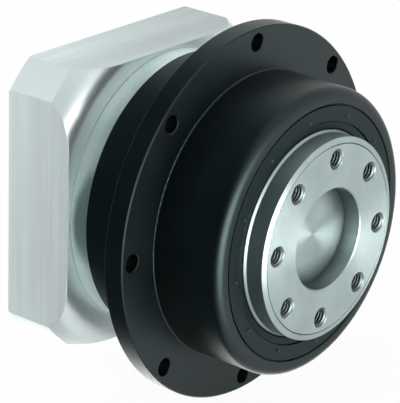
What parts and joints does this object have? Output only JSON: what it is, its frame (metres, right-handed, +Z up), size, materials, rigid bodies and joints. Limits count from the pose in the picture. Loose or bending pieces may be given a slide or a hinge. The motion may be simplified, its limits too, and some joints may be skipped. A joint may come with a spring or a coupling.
{
  "type": "planetary gearbox",
  "caption": "Planetary gearbox with a round output flange, a black housing with a mounting flange, and a square motor plate around a clamping hub.",
  "frame": {"origin": "centre of the mounting flange's front face, on the output axis", "axes": "+X along the output axis towards the driven side, +Z up, square to the motor plate's top edge"},
  "size_m": [0.0885, 0.118, 0.118],
  "materials": {
    "housing_black": "satin black",
    "flange_steel": "fine turned",
    "cover_aluminium": "turned, bright",
    "adapter_aluminium": "milled and turned, bright",
    "seal_rubber": "matte",
    "spring_steel": "phosphated",
    "bearing_steel": "ground",
    "polished_balls": "polished",
    "cage_polyamide": "moulded",
    "gear_steel": "ground teeth",
    "clamp_steel": "oiled",
    "screw_black": "black oxide",
    "plug_steel": "zinc plated"
  },
  "bodies": {
    "housing": {"housing": "housing_black", "output_seal": "seal_rubber", "output_seal_spring": "spring_steel", "bearing_retaining_ring": "spring_steel", "front_bearing_outer_ring": "bearing_steel", "bearing_outer_spacer": "bearing_steel", "rear_bearing_outer_ring": "bearing_steel", "input_housing": "cover_aluminium", "housing_screws": "screw_black", "input_bearing_outer_ring": "bearing_steel", "input_bearing_circlip": "spring_steel", "input_seal": "seal_rubber", "input_seal_spring": "spring_steel", "motor_adapter_plate": "adapter_aluminium", "adapter_screws": "screw_black", "access_plug": "plug_steel"},
    "output": {"output_flange": "flange_steel", "front_bearing_inner_ring": "bearing_steel", "bearing_inner_spacer": "bearing_steel", "rear_bearing_inner_ring": "bearing_steel", "bearing_lock_nut": "clamp_steel", "planet_pins": "bearing_steel", "planet_washers": "bearing_steel"},
    "sun": {"sun_gear_shaft": "gear_steel", "input_bearing_inner_ring": "bearing_steel", "shaft_circlip": "spring_steel", "clamp_ring": "clamp_steel", "clamp_screw": "screw_black"},
    "front_cage": {"front_bearing_cage": "cage_polyamide", "front_bearing_balls": "polished_balls"},
    "rear_cage": {"rear_bearing_cage": "cage_polyamide", "rear_bearing_balls": "polished_balls"},
    "input_cage": {"input_bearing_cage": "cage_polyamide", "input_bearing_balls": "polished_balls"},
    "planet_1": {"planet_gear_1": "gear_steel"},
    "planet_2": {"planet_gear_2": "gear_steel"},
    "planet_3": {"planet_gear_3": "gear_steel"},
    "needles_1": {"needle_cage_1": "cage_polyamide", "needle_rollers_1": "polished_balls"},
    "needles_2": {"needle_cage_2": "cage_polyamide", "needle_rollers_2": "polished_balls"},
    "needles_3": {"needle_cage_3": "cage_polyamide", "needle_rollers_3": "polished_balls"}
  },
  "joints": [
    {"name": "output_spin", "type": "hinge", "parent": "housing", "child": "output", "pos_m": [0, 0, 0], "axis": [1, 0, 0], "continuous": true},
    {"name": "sun_spin", "type": "hinge", "parent": "housing", "child": "sun", "pos_m": [-0.0345, 0, 0], "axis": [1, 0, 0], "continuous": true},
    {"name": "front_cage_spin", "type": "hinge", "parent": "housing", "child": "front_cage", "pos_m": [0.0058, 0, 0], "axis": [1, 0, 0], "continuous": true},
    {"name": "rear_cage_spin", "type": "hinge", "parent": "housing", "child": "rear_cage", "pos_m": [-0.0052, 0, 0], "axis": [1, 0, 0], "continuous": true},
    {"name": "input_cage_spin", "type": "hinge", "parent": "housing", "child": "input_cage", "pos_m": [-0.0345, 0, 0], "axis": [1, 0, 0], "continuous": true},
    {"name": "planet_1_spin", "type": "hinge", "parent": "output", "child": "planet_1", "pos_m": [-0.0195, 0, 0.0225], "axis": [1, 0, 0], "continuous": true},
    {"name": "planet_2_spin", "type": "hinge", "parent": "output", "child": "planet_2", "pos_m": [-0.0195, -0.01949, -0.01125], "axis": [1, 0, 0], "continuous": true},
    {"name": "planet_3_spin", "type": "hinge", "parent": "output", "child": "planet_3", "pos_m": [-0.0195, 0.01949, -0.01125], "axis": [1, 0, 0], "continuous": true},
    {"name": "needles_1_spin", "type": "hinge", "parent": "output", "child": "needles_1", "pos_m": [-0.0195, 0, 0.0225], "axis": [1, 0, 0], "continuous": true},
    {"name": "needles_2_spin", "type": "hinge", "parent": "output", "child": "needles_2", "pos_m": [-0.0195, -0.01949, -0.01125], "axis": [1, 0, 0], "continuous": true},
    {"name": "needles_3_spin", "type": "hinge", "parent": "output", "child": "needles_3", "pos_m": [-0.0195, 0.01949, -0.01125], "axis": [1, 0, 0], "continuous": true}
  ],
  "couplings": [
    {"joint": "sun_spin", "follows": "output_spin", "ratio": 4},
    {"joint": "front_cage_spin", "follows": "output_spin", "ratio": 0.46015},
    {"joint": "rear_cage_spin", "follows": "output_spin", "ratio": 0.46015},
    {"joint": "input_cage_spin", "follows": "output_spin", "ratio": 1.7806},
    {"joint": "planet_1_spin", "follows": "output_spin", "ratio": -3},
    {"joint": "planet_2_spin", "follows": "output_spin", "ratio": -3},
    {"joint": "planet_3_spin", "follows": "output_spin", "ratio": -3},
    {"joint": "needles_1_spin", "follows": "output_spin", "ratio": -1.75},
    {"joint": "needles_2_spin", "follows": "output_spin", "ratio": -1.75},
    {"joint": "needles_3_spin", "follows": "output_spin", "ratio": -1.75}
  ]
}
